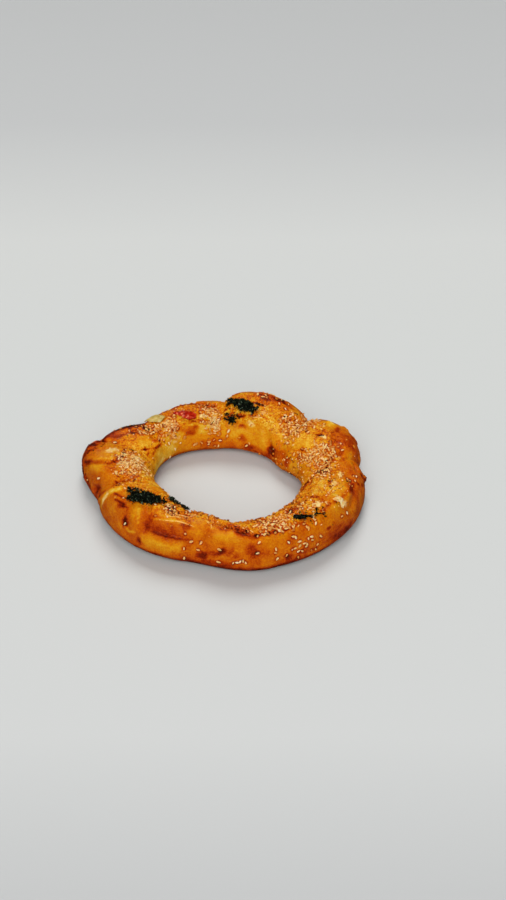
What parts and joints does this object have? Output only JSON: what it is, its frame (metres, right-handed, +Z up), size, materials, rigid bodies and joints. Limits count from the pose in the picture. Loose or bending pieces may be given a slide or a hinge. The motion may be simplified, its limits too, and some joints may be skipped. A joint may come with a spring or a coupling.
{
  "type": "khachapuri cheese bread ring",
  "caption": "Ring-shaped khachapuri, a puffed cheese-filled bread with a browned glazed crust, strewn with sesame seeds and chopped herbs.",
  "frame": {"origin": "middle of the ring's bounding box, on the plane that it rests on", "axes": "+Z up through the ring's hole, +X to the ring's right as seen from the front, along its longest side, +Y away from the front"},
  "size_m": [0.2348, 0.2086, 0.0431],
  "materials": {
    "crust": "egg-washed baked crust, golden to red-brown, satin gloss",
    "herbs": "dark dried chopped herbs",
    "pepper": "wet glossy red pepper",
    "slice": "pale translucent baked slice",
    "cheese": "melted and dried cheese",
    "seeds": "toasted sesame seeds"
  },
  "bodies": {
    "root": {"bread_ring": "crust", "herb_clump_far": "herbs", "herb_clump_far_small": "herbs", "herb_clump_left": "herbs", "herb_clump_left_inner": "herbs", "herb_clump_right": "herbs", "red_pepper_piece": "pepper", "pale_slice": "slice", "cheese_curl": "cheese"}
  },
  "joints": []
}
